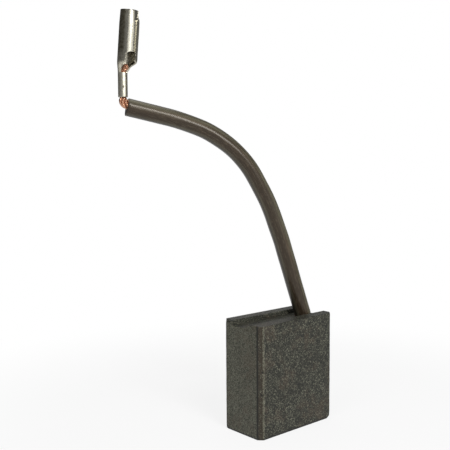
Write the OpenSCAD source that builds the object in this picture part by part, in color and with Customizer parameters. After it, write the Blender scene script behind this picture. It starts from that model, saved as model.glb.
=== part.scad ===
/* [Carbon block] */
// Width of the block, along X, in mm (nominal 3/4 in)
block_w = 19; // [17:0.1:26]
// Thickness of the block, along Y, in mm (nominal 3/8 in)
block_t = 9.8; // [9.4:0.1:14]
// Height of a new block, along Z, in mm (nominal 13/16 in)
block_h = 20.2; // [16:0.1:30]
// Chamfer on the four upright edges
edge_chamfer = 0.8; // [0.4:0.05:1.2]
// Run of the bedding-in bevel along the contact face, at the +X end
bevel_run = 1.6; // [1:0.1:2]
// Rise of that bevel
bevel_rise = 0.9; // [0.3:0.1:1]

/* [Spring groove] */
// Depth of the groove that the pressure spring rides in
groove_depth = 0.9; // [0.6:0.05:1]
// Radius of the groove's scooped floor
groove_r = 7.5; // [6.5:0.1:9]
// Distance of the groove's lowest line behind the middle of the block
groove_y = 1; // [0.6:0.1:1.4]
// Width of the rail behind the groove
rail_w = 2.4; // [2:0.1:2.8]
// How far the rail's inner wall leans back between its foot and its top
rail_lean = 0.15; // [0:0.05:0.4]
// Bevel on the rail's inner top edge
rail_bevel = 0.2; // [0.1:0.05:0.35]

/* [Shunt hole] */
// Distance of the hole from the middle of the block, along X
hole_x = 6.6; // [3:0.1:6.8]
// Diameter of the hole
hole_d = 3.5; // [3.4:0.1:3.6]
// Depth of the hole's straight part below the groove
hole_depth = 8; // [6:0.5:10]
// Angle of the drill point
drill_angle = 118; // [90:1:140]

/* [Lead] */
// Diameter of the stranded copper shunt
shunt_d = 1.6; // [1.4:0.05:1.65]
// Diameter of the shunt where the terminal grips it
gripped_d = 1.04; // [0.96:0.02:1.06]
// Outer diameter of the insulating sleeve
sleeve_d = 3.1; // [3:0.05:3.15]
// Bore of the insulating sleeve
sleeve_bore = 2.5; // [2.5:0.02:2.6]
// Heading of the lead, turned from -X towards +Y
lead_heading = 25; // [15:1:45]

/* [Terminal] */
// Thickness of the terminal's sheet
sheet = 0.3; // [0.28:0.01:0.32]
// Bore of the rolled socket
socket_bore = 2.7; // [2.6:0.05:2.8]
// Length of the rolled socket along its spine
socket_len = 8.7; // [7:0.1:11]
// Diameter over the sheet at the socket's drawn-in mouth
mouth_d = 3.1; // [3.05:0.05:3.2]
// Length over which the mouth is drawn in
mouth_len = 2.5; // [1:0.1:3]
// Length of the window that is cut back from the seam, below the closed roll
window_len = 1.75; // [1:0.05:2.5]
// How far the overlapping edge stands proud of the roll
lap_proud = 0.23; // [0.1:0.01:0.28]
// Distance of the lap's trimmed corner below the mouth
lap_trim = 1.55; // [1:0.05:3]
// Lean of the socket and its neck over the crimp, towards the seam side
socket_lean = 6; // [0:1:6]
// Length of the crimp barrel
crimp_len = 4.2; // [3:0.1:5]
// Radius over the crimp barrel's sheet
crimp_r = 0.84; // [0.84:0.01:0.88]
// Gap between the crimp barrel's two edges
seam_gap = 0.1; // [0.06:0.01:0.2]
// Turn of the terminal about the upright, its seam facing -Y at 0
terminal_turn = 14; // [5:1:45]

/* [Hidden] */
$fn = 64;

// The groove's floor at its lowest line, which is also the top of the plug
floor_z = block_h - groove_depth;
rail_y = block_t/2 - rail_w;
hole_r = hole_d/2;
hole_floor_z = floor_z - hole_depth;
drill_h = hole_r/tan(drill_angle/2);
shunt_foot_z = hole_floor_z + 0.2;

// The lead lies in one upright plane through the hole: [distance, height over floor].
// The sleeve's middle line, from the plug's top to its cut end
sleeve_route = above_floor([
    [0, 0], [0.7, 2.2], [1.45, 4.7], [2.2, 7.2], [2.95, 9.7], [3.75, 12.2],
    [4.5, 14.7], [5.4, 17.2], [6.3, 19.7], [7.35, 22.2], [8.65, 24.7], [10.3, 27.6],
    [12, 29.8], [14, 31.8], [16.3, 33.5], [18.9, 35], [21.7, 36.1],
    [24.6, 37], [27.5, 37.7], [30.5, 38.4], [33.2, 39]]);
// Foot of the crimp. Under it the shunt, which rides up to the top of the sleeve's
// bore at the cut end, turns up in an arc
crimp_at = [33.85, floor_z + 40.7];
bend_r = 1.05;
bend_from = 14;
bend_steps = 5;
bend_z = crimp_at[1] - 0.3;
shunt_bend = [for (i = [0:bend_steps]) let (a = bend_from + (90 - bend_from)*i/bend_steps)
    [crimp_at[0] - bend_r + bend_r*sin(a), bend_z - bend_r*cos(a)]];
// The strands that stand out of the crimp's upper end lean with the neck
stub_len = 1.2;
stub_shift = 0.5;
shunt_route = concat(
    [[0, shunt_foot_z], [0, floor_z - 3], [0, floor_z]],
    [for (i = [1:len(sleeve_route) - 4]) sleeve_route[i]],
    above_floor([[27.5, 37.8], [30.3, 38.6]]),
    shunt_bend,
    [for (z = [-0.02, crimp_len/2, crimp_len + 0.2]) crimp_at + [0, z]],
    [crimp_at + [-stub_shift, crimp_len + stub_len]]);

cord_sides = 8;

// Terminal, in its own frame: +Z up the crimp from its lower end, -Y the seam side.
// The neck and the socket lean as one from the crimp's upper end, back in line
socket_r = socket_bore/2 + sheet;
socket_y = crimp_r - socket_r;
socket_from = 1.85;
socket_to = socket_from + socket_len;
window_from = 211;
lap_from = 274;
lap_to = 390;
lap_dir = 302;

// Neck between crimp and socket, its ends sunk in their walls: [height, radius over
// the sheet, reach of the wing on the -X side, reach of the wing on the +X side]
sunk = 0.03;
neck_sheet = sheet - 2*sunk;
neck_back = crimp_r - sunk;
stations = [
    [-0.25, crimp_r - 0.05, 112, 122],
    [0.1, crimp_r - sunk, 113, 122],
    [0.45, 0.94, 112, 118],
    [0.8, 1.12, 108, 101],
    [1.1, 1.29, 106, 95],
    [1.4, 1.44, 107, 98],
    [1.65, 1.55, 111, 114],
    [socket_from, socket_r - sunk, 119, 160],
    [socket_from + 0.4, socket_r - sunk, 120, 170]];
wing_steps = 14;

// ---------- helpers ----------

function unit(v) = v/norm(v);
function above_floor(route) = [for (p = route) p + [0, floor_z]];

// Direction of a flat route at point i
function heading_at(route, i) =
    unit(route[min(i + 1, len(route) - 1)] - route[max(i - 1, 0)]);

// One ring of a cord round a point of its route, square to its direction d
function ring(p, d, r) = [for (k = [0:cord_sides - 1])
    let (a = 360*k/cord_sides, u = r*cos(a), v = r*sin(a))
    [p[0] - u*d[1], v, p[1] + u*d[0]]];

// The faces between two rings of n points each, numbered from a and from b
function band(a, b, n) = [for (k = [0:n - 1]) let (m = (k + 1) % n)
    [a + k, a + m, b + m, b + k]];

// A solid cord: its rings, one after another, closed by a cap at each end
module solid_cord(rings) {
    n = cord_sides;
    last = len(rings) - 1;
    polyhedron(
        points = [for (r = rings) each r],
        faces = concat(
            [[for (k = [n - 1:-1:0]) k]],
            [for (i = [0:last - 1]) each band(i*n, (i + 1)*n, n)],
            [[for (k = [0:n - 1]) last*n + k]]));
}

// A hollow cord: outer rings, then inner rings, with an annular face at each end
module hollow_cord(outer, inner) {
    n = cord_sides;
    last = len(outer) - 1;
    bore = n*len(outer);
    polyhedron(
        points = concat([for (r = outer) each r], [for (r = inner) each r]),
        faces = concat(
            [for (i = [0:last - 1]) each band(i*n, (i + 1)*n, n)],
            [for (i = [0:last - 1]) each band(bore + (i + 1)*n, bore + i*n, n)],
            band(bore, 0, n),
            band(last*n, bore + last*n, n)));
}

// Places what is drawn in the lead's own plane
module in_lead_plane() {
    translate([hole_x, 0, 0]) rotate([0, 0, 180 - lead_heading]) children();
}

module sector(from, to, r) {
    polygon(concat([[0, 0]], [for (i = [0:12]) let (a = from + (to - from)*i/12)
        2*r*[cos(a), sin(a)]]));
}

// ---------- carbon block ----------

module block_outline() {
    x = block_w/2;
    y = block_t/2;
    c = edge_chamfer;
    polygon([[-x + c, -y], [x - c, -y], [x, -y + c], [x, y - c],
             [x - c, y], [-x + c, y], [-x, y - c], [-x, -y + c]]);
}

// The spring groove's section, drawn with Y across and Z up: a scooped floor that
// ends behind at the rail's wall
module groove_section() {
    top = block_h + 1;
    intersection() {
        translate([groove_y, floor_z + groove_r]) circle(groove_r, $fn = 180);
        polygon([[-block_t, floor_z - 1], [rail_y, floor_z - 1], [rail_y, floor_z],
                 [rail_y + rail_lean, block_h - rail_bevel],
                 [rail_y + rail_lean + rail_bevel, block_h],
                 [rail_y + rail_lean + rail_bevel, top], [-block_t, top]]);
    }
}

// The hole drilled for the shunt, of height h above its cone
module shunt_hole(h) {
    translate([hole_x, 0, hole_floor_z]) cylinder(r = hole_r, h = h);
    translate([hole_x, 0, hole_floor_z - drill_h]) cylinder(r1 = 0, r2 = hole_r, h = drill_h);
}

// What the bevel takes off the contact face's +X end, drawn with X across and Z up
module bevel_section() {
    x = block_w/2;
    polygon([[x - bevel_run, 0], [x - bevel_run, -1], [x + bevel_run, -1],
             [x + bevel_run, 2*bevel_rise]]);
}

module carbon_block() {
    color("#4b4a44") difference() {
        linear_extrude(block_h) block_outline();
        translate([-block_w, 0, 0]) rotate([90, 0, 90]) linear_extrude(2*block_w) groove_section();
        rotate([90, 0, 0]) linear_extrude(2*block_t, center = true) bevel_section();
        shunt_hole(hole_depth + 2);
    }
}

// Copper powder packed round the shunt, flush with the groove's lowest line
module tamped_plug() {
    color("#8a5a3c") difference() {
        shunt_hole(hole_depth);
        translate([hole_x, 0, shunt_foot_z]) cylinder(d = shunt_d, h = hole_depth);
    }
}

// ---------- lead ----------

function shunt_r(p) = p[1] > bend_z ? gripped_d/2 : shunt_d/2;

module shunt_wire() {
    last = len(shunt_route) - 1;
    color("#b8734a") in_lead_plane() solid_cord([for (i = [0:last])
        let (p = shunt_route[i], d = i == 2 ? [0, 1] : heading_at(shunt_route, i))
        ring(p, d, shunt_r(p))]);
}

module sleeve() {
    last = len(sleeve_route) - 1;
    function sleeve_ring(i, r) =
        ring(sleeve_route[i], i == 0 ? [0, 1] : heading_at(sleeve_route, i), r);
    color("#4a4039") in_lead_plane() hollow_cord(
        [for (i = [0:last]) sleeve_ring(i, sleeve_d/2)],
        [for (i = [0:last]) sleeve_ring(i, sleeve_bore/2)]);
}

// ---------- terminal ----------

// Places what is drawn in the terminal's own frame
module at_terminal() {
    a = 180 - lead_heading;
    translate([hole_x + crimp_at[0]*cos(a), crimp_at[0]*sin(a), crimp_at[1]])
        rotate([0, 0, terminal_turn]) children();
}

// The crimp barrel, closed round the shunt until its edges nearly touch. The strands
// press its inside to flats, so it is no bore
module crimp() {
    linear_extrude(crimp_len) difference() {
        circle(crimp_r);
        circle(gripped_d/2 + 0.03, $fn = 12);
        translate([-seam_gap/2, -2*crimp_r]) square([seam_gap, 2*crimp_r]);
    }
}

// Angle of step k along a station's sheet, from the +X wing's edge to the -X wing's
function wing_angle(s, k) = 90 + k/wing_steps*(k < 0 ? s[3] : s[2]);
function wing_point(s, k, r) =
    [r*cos(wing_angle(s, k)), neck_back - s[1] + r*sin(wing_angle(s, k)), s[0]];
function station_ring(s) = concat(
    [for (k = [-wing_steps:wing_steps]) wing_point(s, k, s[1])],
    [for (k = [wing_steps:-1:-wing_steps]) wing_point(s, k, s[1] - neck_sheet)]);

// The open neck: one sheet that widens from the crimp to the socket
module neck() {
    half = 2*wing_steps + 1;
    n = 2*half;
    top = n*(len(stations) - 1);
    // An end face is a strip of four-sided faces between outer and inner line
    function strip(base, k) = [base + k, base + k + 1, base + n - 2 - k, base + n - 1 - k];
    polyhedron(
        points = [for (s = stations) each station_ring(s)],
        faces = concat(
            [for (k = [0:half - 2]) strip(0, k)],
            [for (i = [0:len(stations) - 2]) each band((i + 1)*n, i*n, n)],
            [for (k = [0:half - 2]) let (q = strip(top, k)) [q[3], q[2], q[1], q[0]]]));
}

// The rolled socket, with the overlapping edge of its seam
module socket() {
    roll_len = socket_len - mouth_len;
    difference() {
        translate([0, 0, socket_from]) union() {
            cylinder(r = socket_r, h = roll_len);
            translate([0, 0, roll_len]) cylinder(r1 = socket_r, r2 = mouth_d/2, h = mouth_len);
            linear_extrude(socket_len - lap_trim) intersection() {
                translate(lap_proud*[cos(lap_dir), sin(lap_dir)]) circle(socket_r);
                sector(lap_from, lap_to, socket_r);
            }
        }
        cylinder(d = socket_bore, h = socket_to + 1);
        linear_extrude(socket_from + window_len) sector(window_from, lap_from, socket_r);
    }
}

module terminal() {
    color("#b9b6ab") at_terminal() {
        crimp();
        translate([0, 0, crimp_len]) rotate([socket_lean, 0, 0]) {
            neck();
            translate([0, socket_y, 0]) socket();
        }
    }
}

carbon_block();
tamped_plug();
shunt_wire();
sleeve();
terminal();
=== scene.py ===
"""Dresses the carbon brush: block, tamped plug, shunt, sleeve and rolled terminal."""

import logging
import math
from collections.abc import Iterable, Sequence
from dataclasses import dataclass, field
from enum import Enum
from typing import ClassVar

import bmesh
import bpy
from mathutils import Matrix, Vector, noise


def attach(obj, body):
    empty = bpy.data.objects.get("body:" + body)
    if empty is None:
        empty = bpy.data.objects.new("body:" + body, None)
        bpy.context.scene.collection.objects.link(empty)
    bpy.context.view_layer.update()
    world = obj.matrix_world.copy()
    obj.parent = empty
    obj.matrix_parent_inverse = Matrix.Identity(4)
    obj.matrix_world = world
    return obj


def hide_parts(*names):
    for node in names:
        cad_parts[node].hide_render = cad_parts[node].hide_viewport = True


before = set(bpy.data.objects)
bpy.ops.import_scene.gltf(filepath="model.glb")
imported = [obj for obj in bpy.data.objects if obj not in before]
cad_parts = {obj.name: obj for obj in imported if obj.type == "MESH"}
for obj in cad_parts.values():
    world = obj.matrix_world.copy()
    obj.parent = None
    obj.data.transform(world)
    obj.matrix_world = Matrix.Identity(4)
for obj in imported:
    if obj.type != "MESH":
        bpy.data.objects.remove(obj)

LOG = logging.getLogger("carbon_brush")
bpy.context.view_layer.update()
BODY = "root"
MM = 0.001
UP = Vector((0.0, 0.0, 1.0))

Pair = tuple[float, float]
Triple = tuple[float, float, float]
Colour = Triple
MeshPart = bmesh.types.BMVert | bmesh.types.BMEdge | bmesh.types.BMFace


class Slot(Enum):
    """The record's material slots."""

    CARBON = "carbon"
    POWDER = "copper_powder"
    COPPER = "copper_strand"
    SLEEVING = "sleeving"
    TINNED = "tinned_brass"


class Axis(Enum):
    """The row's axes, as directions."""

    X = (1.0, 0.0, 0.0)
    Y = (0.0, 1.0, 0.0)
    Z = (0.0, 0.0, 1.0)


# ---------------------------------------------------------------- shader maths


class Value:
    """A shader value that takes Python's arithmetic."""

    def __init__(self, graph: "Graph", socket: bpy.types.NodeSocket) -> None:
        """Wraps one output socket.

        Args:
            graph: The node tree that the socket belongs to.
            socket: The output socket.
        """
        self.graph = graph
        self.socket = socket

    def _with(self, operation: str, *others: "Value | float") -> "Value":
        """Adds one Math node that takes this value first."""
        return self.graph.maths(operation, self, *others)

    def __add__(self, other: "Value | float") -> "Value":
        """Adds."""
        return self._with("ADD", other)

    def __radd__(self, other: float) -> "Value":
        """Adds, reflected."""
        return self._with("ADD", other)

    def __sub__(self, other: "Value | float") -> "Value":
        """Subtracts."""
        return self._with("SUBTRACT", other)

    def __rsub__(self, other: float) -> "Value":
        """Subtracts, reflected."""
        return self.graph.maths("SUBTRACT", other, self)

    def __mul__(self, other: "Value | float") -> "Value":
        """Multiplies."""
        return self._with("MULTIPLY", other)

    def __truediv__(self, other: "Value | float") -> "Value":
        """Divides."""
        return self._with("DIVIDE", other)

    def __pow__(self, other: "Value | float") -> "Value":
        """Raises to a power."""
        return self._with("POWER", other)

    def __abs__(self) -> "Value":
        """Takes the size without its sign."""
        return self._with("ABSOLUTE")

    def sine(self) -> "Value":
        """Takes an angle's sine."""
        return self._with("SINE")

    def least(self, other: "Value | float") -> "Value":
        """Gives the smaller of two values."""
        return self._with("MINIMUM", other)

    def most(self, other: "Value | float") -> "Value":
        """Gives the larger of two values."""
        return self._with("MAXIMUM", other)

    def step(self, low: float, high: float) -> "Value":
        """Rises smoothly from 0 at low to 1 at high.

        Args:
            low: Where the rise starts.
            high: Where it ends; it falls instead when this is the lower one.

        Returns:
            The smooth step.
        """
        first, last = (0.0, 1.0) if low < high else (1.0, 0.0)
        return self.graph.node(
            "ShaderNodeMapRange",
            {"interpolation_type": "SMOOTHSTEP"},
            {0: self, 1: min(low, high), 2: max(low, high), 3: first, 4: last},
        )

    def within(self, near: float, far: float) -> "Value":
        """Takes a squared distance; falls from 1 to 0 between two distances."""
        return self.step(far**2, near**2)


class Graph:
    """One material's or world's node tree."""

    def __init__(self, owner: bpy.types.Material | bpy.types.World) -> None:
        """Empties the owner's tree.

        Args:
            owner: The material or world.
        """
        owner.use_nodes = True
        self.tree = owner.node_tree
        self.tree.nodes.clear()

    def node(
        self,
        kind: str,
        settings: dict[str, object] | None = None,
        inputs: dict[int | str, object] | None = None,
        out: int | str = 0,
    ) -> Value:
        """Adds any node.

        Args:
            kind: The node's type.
            settings: Properties that are set first; "stops" fills a colour ramp.
            inputs: Values or links of its sockets, by number or name.
            out: The output that is wanted.

        Returns:
            The wrapped output.
        """
        made = self.tree.nodes.new(kind)
        for name, value in (settings or {}).items():
            if name == "stops":
                self._fill_ramp(made.color_ramp, value)
            else:
                setattr(made, name, value)
        for key, value in (inputs or {}).items():
            socket = made.inputs[key]
            if isinstance(value, Value):
                self.tree.links.new(value.socket, socket)
            elif socket.type == "RGBA" and len(value) == 3:
                socket.default_value = (*value, 1.0)
            else:
                socket.default_value = value
        return Value(self, made.outputs[out] if len(made.outputs) else None)

    @staticmethod
    def _fill_ramp(ramp: bpy.types.ColorRamp, stops: Sequence[tuple[float, Colour]]) -> None:
        """Sets a colour ramp's stops.

        Args:
            ramp: The ramp.
            stops: Pairs of position and colour, in order.
        """
        while len(ramp.elements) < len(stops):
            ramp.elements.new(1.0)
        for element, (place, colour) in zip(ramp.elements, stops):
            element.position = place
            element.color = (*colour, 1.0)

    def maths(self, operation: str, *values: Value | float) -> Value:
        """Adds a Math node with its inputs in order."""
        return self.node("ShaderNodeMath", {"operation": operation}, dict(enumerate(values)))

    def mix(self, factor: Value | float, a: Value | Colour, b: Value | Colour) -> Value:
        """Mixes two colours.

        Args:
            factor: 0 gives a, 1 gives b.
            a: The first colour.
            b: The second colour.

        Returns:
            The mixed colour.
        """
        return self.node(
            "ShaderNodeMix",
            {"data_type": "RGBA", "clamp_factor": True},
            {0: factor, 6: a, 7: b},
            2,
        )

    def object_mm(self) -> Value:
        """Gives Object coordinates in millimetres."""
        place = self.node("ShaderNodeTexCoord", out="Object")
        return self.node(
            "ShaderNodeVectorMath", {"operation": "SCALE"}, {0: place, "Scale": 1 / MM}
        )

    def seen(self) -> Value:
        """Gives 1 to the camera's rays and to those that gloss or glass sends on."""
        camera, gloss, glass = (
            self.node("ShaderNodeLightPath", out=f"Is {kind} Ray")
            for kind in ("Camera", "Glossy", "Transmission")
        )
        return camera.most(gloss).most(glass)

    def attribute(self, name: str) -> Value:
        """Gives a vector attribute of the piece."""
        return self.node("ShaderNodeAttribute", {"attribute_name": name}, out="Vector")

    def parts(self, vector: Value) -> tuple[Value, Value, Value]:
        """Splits a vector.

        Args:
            vector: The vector.

        Returns:
            Its three values.
        """
        first = self.node("ShaderNodeSeparateXYZ", inputs={0: vector})
        outputs = first.socket.node.outputs
        return first, Value(self, outputs[1]), Value(self, outputs[2])

    def stretched(self, vector: Value, scale: Triple) -> Value:
        """Scales a pattern's coordinates by a factor for each axis."""
        return self.node(
            "ShaderNodeMapping", {"vector_type": "POINT"}, {"Vector": vector, "Scale": scale}
        )

    def noise(self, vector: Value, scale: float, detail: float, rough: float) -> Value:
        """Adds a noise pattern.

        Args:
            vector: Its coordinates, in millimetres.
            scale: Features per millimetre.
            detail: Octaves.
            rough: How much the finer octaves count.

        Returns:
            The noise, from 0 to 1.
        """
        return self.node(
            "ShaderNodeTexNoise",
            inputs={"Vector": vector, "Scale": scale, "Detail": detail, "Roughness": rough},
        )

    def cells(self, vector: Value, scale: float) -> tuple[Value, Value]:
        """Adds a cell pattern.

        Args:
            vector: Its coordinates, in millimetres.
            scale: Cells per millimetre.

        Returns:
            The distance to the cell's point, and a value that differs from cell to cell.
        """
        near = self.node("ShaderNodeTexVoronoi", inputs={"Vector": vector, "Scale": scale})
        tint = Value(self, near.socket.node.outputs["Color"])
        return near, self.parts(tint)[0]

    def bump(self, height: Value, depth_mm: float, strength: float = 1.0) -> Value:
        """Turns a height into a normal.

        Args:
            height: The height, from 0 to 1.
            depth_mm: How deep 1 is, in millimetres.
            strength: How much of it shows.

        Returns:
            The normal.
        """
        return self.node(
            "ShaderNodeBump",
            inputs={"Height": height, "Distance": depth_mm * MM, "Strength": strength},
        )

    def layered(self, base: Value, *layers: tuple[Value, Value | Colour]) -> Value:
        """Lays colours over one another.

        Args:
            base: The lowest colour.
            layers: How much of each further colour shows, and the colour.

        Returns:
            The colour on top.
        """
        for share, colour in layers:
            base = self.mix(share, base, colour)
        return base

    def surface(self, **inputs: object) -> None:
        """Ends a material in a Principled shader.

        Args:
            inputs: Values or links by socket name, with "_" for each space.
        """
        shader = self.node(
            "ShaderNodeBsdfPrincipled",
            inputs={name.replace("_", " "): value for name, value in inputs.items()},
        )
        self.node("ShaderNodeOutputMaterial", inputs={"Surface": shader})


# ------------------------------------------------------------------- finishes


class Finish:
    """A finish of the brush, named after the slot that it belongs to."""

    slot: ClassVar[Slot]

    def paint(self, graph: Graph) -> None:
        """Builds the nodes."""
        raise NotImplementedError

    def material(self) -> bpy.types.Material:
        """Makes the finished material.

        Returns:
            The material, under the slot's name with "_finish" after it.
        """
        made = bpy.data.materials.new(f"{self.slot.value}_finish")
        self.paint(Graph(made))
        return made


@dataclass(frozen=True)
class CarbonFinish(Finish):
    """Pressed carbon graphite: grainy on its wide faces, finer on its narrow ones.

    Painted light lifts the narrow faces. Painted shade darkens the chamfers, the narrow faces'
    edges, the foot and the wide faces' ends at +X. A pale line on worn edges is partly a
    painted highlight.

    The first three sizes are the block's own, in millimetres.
    """

    slot: ClassVar[Slot] = Slot.CARBON
    half_w: float
    half_t: float
    chamfer: float
    grain_per_mm: float = 4.6
    fine_per_mm: float = 9.0
    coarse_per_mm: float = 0.9
    cloud_per_mm: float = 0.2
    pits_per_mm: float = 0.8
    flecks_per_mm: float = 3.2
    narrow_calm: float = 0.55
    narrow_painted_light: float = 0.35
    tone: float = 0.24
    body_stop: float = 0.42
    rust: float = 0.36
    dark: Colour = (0.009, 0.009, 0.006)
    body: Colour = (0.026, 0.027, 0.017)
    light: Colour = (0.225, 0.222, 0.165)
    brown: Colour = (0.066, 0.044, 0.027)
    chamfer_shade: Colour = (0.030, 0.022, 0.013)

    def paint(self, graph: Graph) -> None:
        """Builds the nodes.

        Args:
            graph: The material's tree.
        """
        place = graph.object_mm()
        side, face, rise = graph.parts(place)
        x, y = abs(side), abs(face)
        grain = graph.noise(place, self.grain_per_mm, 3.0, 0.65)
        fine = graph.noise(place, self.fine_per_mm, 2.0, 0.6)
        coarse = graph.noise(place, self.coarse_per_mm, 2.0, 0.6)
        cloud = graph.noise(place, self.cloud_per_mm, 3.0, 0.55)
        pit_gap, pit_pick = graph.cells(place, self.pits_per_mm)
        pits = pit_gap.step(0.24, 0.12) * pit_pick.step(0.84, 0.86)
        fleck_gap, fleck_pick = graph.cells(place, self.flecks_per_mm)
        flecks = fleck_gap.step(0.3, 0.12) * fleck_pick.step(0.8, 0.84)

        # Where a point is: on a narrow face, on a chamfer, or near one of its edges.
        flat = self.half_w - self.chamfer
        shoulder = self.half_t - self.chamfer
        narrow = (x - self.half_w).step(-0.08, -0.03)
        wide = 1.0 - narrow
        strip = (x + y - (flat + self.half_t)).step(-0.14, -0.04)
        outer_edge_shade = ((x - self.half_w) ** 2 + (y - shoulder) ** 2).within(0.1, 0.265)
        worn_edge_highlight = ((x - flat) ** 2 + (y - self.half_t) ** 2).within(0.077, 0.265)
        beside = ((x - self.half_w) ** 2).least((y - self.half_t) ** 2)
        foot_edge_shade = (rise**2 + beside).within(0.173, 0.4)
        end_edge_shade = (side - flat).step(-0.3, -0.05) * wide

        spread = 1.0 - narrow * self.narrow_calm
        tone = ((grain - 0.5) * 3.3 + (fine - 0.5) * 2.0 + (coarse - 0.5) * 0.5) * spread
        base = graph.node(
            "ShaderNodeValToRGB",
            {"stops": ((0.0, self.dark), (self.body_stop, self.body), (1.0, self.light))},
            # Painted light: the narrow faces are painted lighter.
            {0: tone + narrow * self.narrow_painted_light + self.tone},
        )
        colour = graph.layered(
            base,
            (cloud.step(0.47, 0.62) * coarse.step(0.35, 0.6) * self.rust, self.brown),
            # Painted shade: the chamfers are painted darker.
            (strip * grain.step(0.8, 0.42) * 0.95, self.chamfer_shade),
            # Painted shade: dark lines down the narrow faces' edges and round the foot.
            (outer_edge_shade.most(foot_edge_shade) * 0.95, self.dark),
            # Worn edges with a painted highlight: a pale line along the wide faces' edges.
            (worn_edge_highlight * grain.step(0.36, 0.56) * 0.55, self.light),
            (flecks * wide * 0.6, self.light),
            # Painted shade: a dark band down the wide faces' ends on the +X side.
            (end_edge_shade * 0.9, self.dark),
            (pits * 0.85, self.dark),
        )
        height = (grain * 0.6 + fine * 0.25) * spread + coarse * 0.3 - pits * 0.8 + flecks * 0.15
        graph.surface(
            Base_Color=colour,
            Roughness=0.66 - grain * 0.2,
            Specular_IOR_Level=0.35,
            Normal=graph.bump(height, 0.12, 0.8),
        )


@dataclass(frozen=True)
class PowderFinish(Finish):
    """Copper powder tamped hard into the hole."""

    slot: ClassVar[Slot] = Slot.POWDER
    grain_per_mm: float = 6.0
    dark: Colour = (0.055, 0.035, 0.026)
    copper: Colour = (0.24, 0.12, 0.075)

    def paint(self, graph: Graph) -> None:
        """Builds the nodes.

        Args:
            graph: The material's tree.
        """
        grain = graph.noise(graph.object_mm(), self.grain_per_mm, 3.0, 0.7)
        graph.surface(
            Base_Color=graph.mix(grain.step(0.35, 0.7), self.dark, self.copper),
            Metallic=grain.step(0.5, 0.75) * 0.6,
            Roughness=0.75 - grain * 0.25,
            Normal=graph.bump(grain, 0.08),
        )


@dataclass(frozen=True)
class CopperFinish(Finish):
    """Bare copper strands, bright where they rub and dark brown in between, as tarnish with
    painted shade.
    """

    slot: ClassVar[Slot] = Slot.COPPER
    wires: float = 9.0
    turns_per_mm: float = 0.33
    stain_per_mm: float = 1.6
    bright: Colour = (0.84, 0.48, 0.31)
    stained: Colour = (0.50, 0.23, 0.13)
    gap_shade_and_tarnish: Colour = (0.13, 0.05, 0.028)

    def paint(self, graph: Graph) -> None:
        """Builds the nodes.

        Args:
            graph: The material's tree.
        """
        straight = graph.attribute("straight")
        across, height, along = graph.parts(straight)
        turn = graph.maths("ARCTAN2", height, across) / math.tau + along * self.turns_per_mm
        wave = (turn * self.wires * math.tau).sine() * 0.5 + 0.5
        stain = graph.noise(graph.stretched(straight, (1, 1, 0.5)), self.stain_per_mm, 3.0, 0.6)
        copper = graph.mix(stain.step(0.35, 0.65), self.bright, self.stained)
        graph.surface(
            # Tarnish with painted shade: dark brown between the wires.
            Base_Color=graph.mix(wave.step(0.55, 0.05) * 0.9, copper, self.gap_shade_and_tarnish),
            Metallic=1.0,
            Roughness=0.26 + stain * 0.2,
            Normal=graph.bump(wave, 0.05, 0.7),
        )


@dataclass(frozen=True)
class SleevingFinish(Finish):
    """Dark varnished sleeving with streaks along it, and painted light and shade by side.

    A painted sheen lightens its outer side and a strip near its inner edge. Painted shade
    darkens its inner side and both its edges in the lead's plane.

    A place's height is in millimetres, square to the lead in its plane. It is above zero
    on the outside of the bend.
    """

    slot: ClassVar[Slot] = Slot.SLEEVING
    streaks_per_mm: float = 3.4
    threads_per_mm: float = 6.0
    specks_per_mm: float = 4.0
    clouds_per_mm: float = 0.5
    dark: Colour = (0.016, 0.010, 0.005)
    brown: Colour = (0.066, 0.045, 0.027)
    olive: Colour = (0.060, 0.056, 0.038)
    shade: Colour = (0.018, 0.010, 0.005)
    sheen_colour: Colour = (0.128, 0.122, 0.085)
    worn: Colour = (0.115, 0.092, 0.062)
    edge_shade_colour: Colour = (0.012, 0.009, 0.006)
    dirt: Colour = (0.012, 0.010, 0.008)

    def paint(self, graph: Graph) -> None:
        """Builds the nodes.

        Args:
            graph: The material's tree.
        """
        straight = graph.attribute("straight")
        streak = graph.noise(
            graph.stretched(straight, (1.0, 1.0, 0.03)), self.streaks_per_mm, 3.0, 0.65
        )
        thread = graph.noise(
            graph.stretched(straight, (1.0, 1.0, 0.12)), self.threads_per_mm, 2.0, 0.6
        )
        speck = graph.noise(straight, self.specks_per_mm, 3.0, 0.65)
        cloud = graph.noise(
            graph.stretched(straight, (1.0, 1.0, 0.25)), self.clouds_per_mm, 2.0, 0.5
        )
        height = graph.parts(straight)[1]
        shaded = height.step(0.5, -0.1) * (1.0 - streak.step(0.5, 0.75) * 0.4)
        # Painted sheen: the outer side, and a strip near the inner edge, are painted lighter.
        painted_sheen = height.step(0.45, 0.9).most(height.step(-0.95, -1.25) * 0.6)
        # Painted shade: both edges of the sleeve in the lead's plane are painted dark.
        edge_band_shade = abs(height).step(1.3, 1.5)
        colour = graph.layered(
            graph.mix(streak.step(0.36, 0.66), self.dark, self.brown),
            (cloud.step(0.42, 0.68) * 0.55, self.olive),
            (shaded * 0.85, self.shade),
            (painted_sheen * streak.step(0.25, 0.6) * 0.8, self.sheen_colour),
            (thread.step(0.52, 0.68) * 0.35, self.worn),
            (edge_band_shade * 0.85, self.edge_shade_colour),
            (speck.step(0.6, 0.75) * 0.4, self.dirt),
        )
        graph.surface(
            Base_Color=colour,
            Roughness=0.25 + streak * 0.14,
            Specular_IOR_Level=0.38,
            Specular_Tint=(1.0, 0.9, 0.74),
            Coat_Weight=0.2,
            Coat_Roughness=0.1,
            Normal=graph.bump(streak * 0.5 + thread * 0.3 + speck * 0.2, 0.015, 0.5),
        )


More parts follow.
